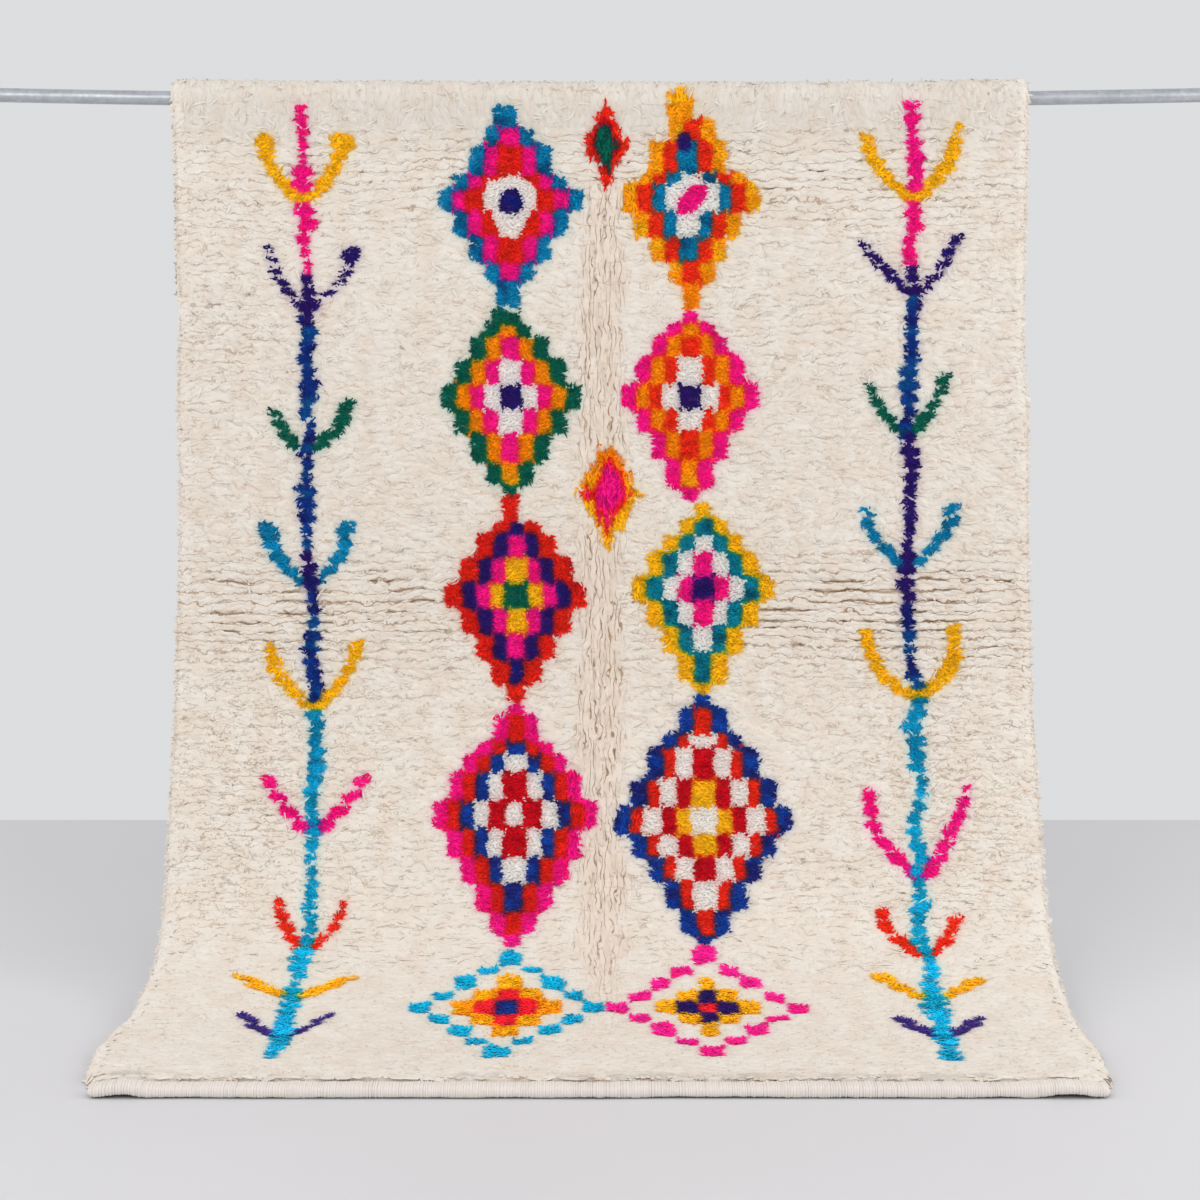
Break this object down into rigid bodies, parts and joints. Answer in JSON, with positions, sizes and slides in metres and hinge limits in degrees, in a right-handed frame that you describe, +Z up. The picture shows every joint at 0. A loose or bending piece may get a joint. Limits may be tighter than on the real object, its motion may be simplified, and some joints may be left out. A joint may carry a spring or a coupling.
{
  "type": "beni ourain rug hanging over a rod",
  "caption": "Shaggy ivory hand-knotted wool rug with dyed lozenges and branching stems, hung over a steel rod and running out on the floor.",
  "frame": {"origin": "on the floor, under the middle of the whole thing", "axes": "+X along the rod, to the right as the pile side is seen; -Y the way the pile side faces and the rug runs out on the floor; +Z up"},
  "size_m": [2.2, 0.8316, 1.5545],
  "materials": {
    "ivory_pile": "long matte wool pile, undyed ivory",
    "white_pile": "long matte wool pile, bleached white",
    "pink_pile": "wool pile dyed hot pink, slight sheen",
    "crimson_pile": "wool pile dyed crimson, slight sheen",
    "vermilion_pile": "wool pile dyed red-orange, slight sheen",
    "marigold_pile": "wool pile dyed marigold, slight sheen",
    "turquoise_pile": "wool pile dyed turquoise, slight sheen",
    "royal_pile": "wool pile dyed royal blue, slight sheen",
    "indigo_pile": "wool pile dyed dark indigo purple, slight sheen",
    "green_pile": "wool pile dyed dark green, slight sheen",
    "ground_weave": "plain wool ground weave, matte",
    "hem_wool": "flat-woven rolled wool hem with fine ribs, matte",
    "zinc_tube": "dull galvanised zinc with a soft highlight"
  },
  "bodies": {
    "root": {"rug": "ivory_pile", "rod": "zinc_tube"}
  },
  "joints": []
}
